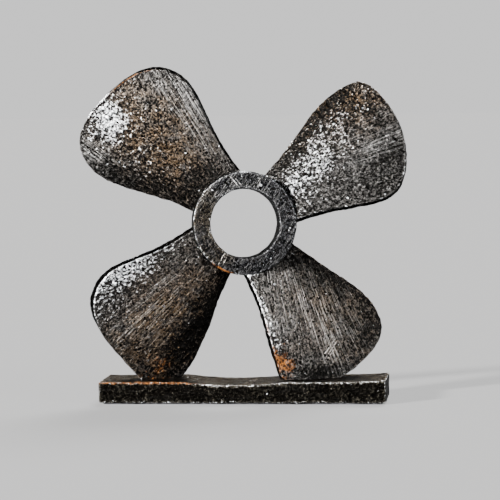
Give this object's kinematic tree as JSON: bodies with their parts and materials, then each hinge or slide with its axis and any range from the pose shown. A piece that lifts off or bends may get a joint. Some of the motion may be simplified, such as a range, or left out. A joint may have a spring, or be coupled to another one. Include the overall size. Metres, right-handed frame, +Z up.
{
  "type": "propeller ornament on a bar",
  "caption": "Decorative ship-style propeller with an open ring hub and broad pitched blades, the lower ones sawn flat and standing on a rectangular bar, in an aged dark metal-effect finish.",
  "frame": {"origin": "middle of the underside of the felt sheet under the bar, on the surface that the ornament stands on", "axes": "+Z up, front towards -Y, X along the bar; the propeller's own axis is turned 10.5 degrees to the right of -Y, seen from the front, and leans back 2.5 degrees"},
  "size_m": [0.2446, 0.0773, 0.2517],
  "materials": {
    "ring_finish": "aged dark gunmetal paint on wood, semi-gloss, worn copper and pale edges",
    "blade_finish": "aged gunmetal and bronze paint on wood, pitted, dry-brushed silver along the blade, semi-gloss",
    "bar_finish": "aged near-black paint on wood, pitted, copper wear along the top edges",
    "dowel_wood": "plain beech, matt",
    "screw_steel": "zinc-plated steel",
    "felt": "black wool felt, matt"
  },
  "bodies": {
    "root": {"hub_ring": "ring_finish", "blade_upper_left": "blade_finish", "blade_upper_right": "blade_finish", "blade_lower_left": "blade_finish", "blade_lower_right": "blade_finish", "base_bar": "bar_finish", "dowel_upper_left_1": "dowel_wood", "dowel_upper_left_2": "dowel_wood", "dowel_upper_right_1": "dowel_wood", "dowel_upper_right_2": "dowel_wood", "dowel_lower_left_1": "dowel_wood", "dowel_lower_left_2": "dowel_wood", "dowel_lower_right_1": "dowel_wood", "dowel_lower_right_2": "dowel_wood", "foot_screw_lower_left_1": "screw_steel", "foot_screw_lower_left_2": "screw_steel", "foot_screw_lower_right_1": "screw_steel", "foot_screw_lower_right_2": "screw_steel", "felt_sheet": "felt"}
  },
  "joints": []
}
